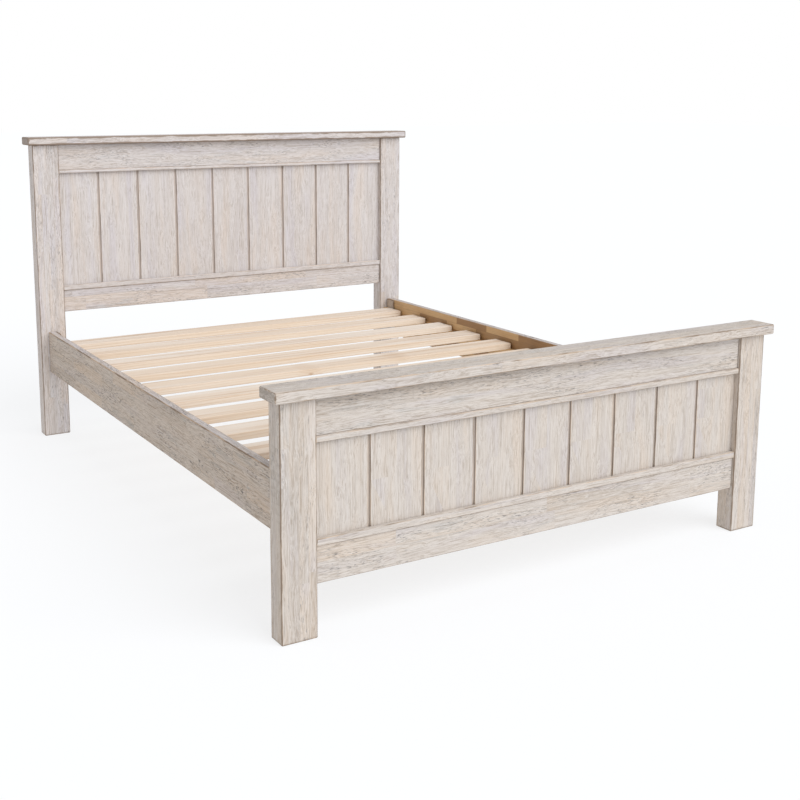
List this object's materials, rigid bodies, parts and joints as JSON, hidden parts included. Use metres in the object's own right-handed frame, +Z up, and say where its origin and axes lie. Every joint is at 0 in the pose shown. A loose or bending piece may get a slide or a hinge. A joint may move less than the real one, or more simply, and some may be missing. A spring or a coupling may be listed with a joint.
{
  "type": "wooden bed frame",
  "caption": "Wooden bed frame with a tall panelled headboard, a low panelled footboard, side rails and flat slats on ledgers.",
  "frame": {"origin": "on the floor, at the centre of the frame's outline", "axes": "+X to the right seen from the foot, +Y from the footboard to the headboard, +Z up"},
  "size_m": [1.69, 2.2, 1.1763],
  "materials": {
    "limed_wood": "whitewashed acacia, brushed grain, worn edges, matt",
    "brown_wood": "brown-stained acacia, satin",
    "raw_pine": "planed unfinished pine",
    "zinc_steel": "bright zinc plate"
  },
  "bodies": {
    "root": {"foot_post_left": "limed_wood", "foot_post_right": "limed_wood", "foot_cap": "limed_wood", "foot_lower_rail": "limed_wood", "foot_lower_moulding": "limed_wood", "foot_upper_rail": "limed_wood", "foot_upper_moulding": "limed_wood", "foot_board_1": "limed_wood", "foot_board_2": "limed_wood", "foot_board_3": "limed_wood", "foot_board_4": "limed_wood", "foot_board_5": "limed_wood", "foot_board_6": "limed_wood", "foot_board_7": "limed_wood", "foot_board_8": "limed_wood", "foot_board_9": "limed_wood", "head_post_left": "limed_wood", "head_post_right": "limed_wood", "head_cap": "limed_wood", "head_lower_rail": "limed_wood", "head_lower_moulding": "limed_wood", "head_upper_rail": "limed_wood", "head_upper_moulding": "limed_wood", "head_board_1": "limed_wood", "head_board_2": "limed_wood", "head_board_3": "limed_wood", "head_board_4": "limed_wood", "head_board_5": "limed_wood", "head_board_6": "limed_wood", "head_board_7": "limed_wood", "head_board_8": "limed_wood", "head_board_9": "limed_wood", "side_rail_left": "limed_wood", "slat_ledger_left": "brown_wood", "head_slat_stop_left": "brown_wood", "foot_rail_pad_left": "limed_wood", "foot_bracket_left": "zinc_steel", "foot_bolt_left": "zinc_steel", "head_rail_pad_left": "limed_wood", "head_bracket_left": "zinc_steel", "head_bolt_left": "zinc_steel", "side_rail_right": "limed_wood", "slat_ledger_right": "brown_wood", "head_slat_stop_right": "brown_wood", "foot_rail_pad_right": "limed_wood", "foot_bracket_right": "zinc_steel", "foot_bolt_right": "zinc_steel", "head_rail_pad_right": "limed_wood", "head_bracket_right": "zinc_steel", "head_bolt_right": "zinc_steel", "slat_01": "raw_pine", "slat_02": "raw_pine", "slat_03": "raw_pine", "slat_04": "raw_pine", "slat_05": "raw_pine", "slat_06": "raw_pine", "slat_07": "raw_pine", "slat_08": "raw_pine", "slat_09": "raw_pine", "slat_10": "raw_pine"}
  },
  "joints": []
}
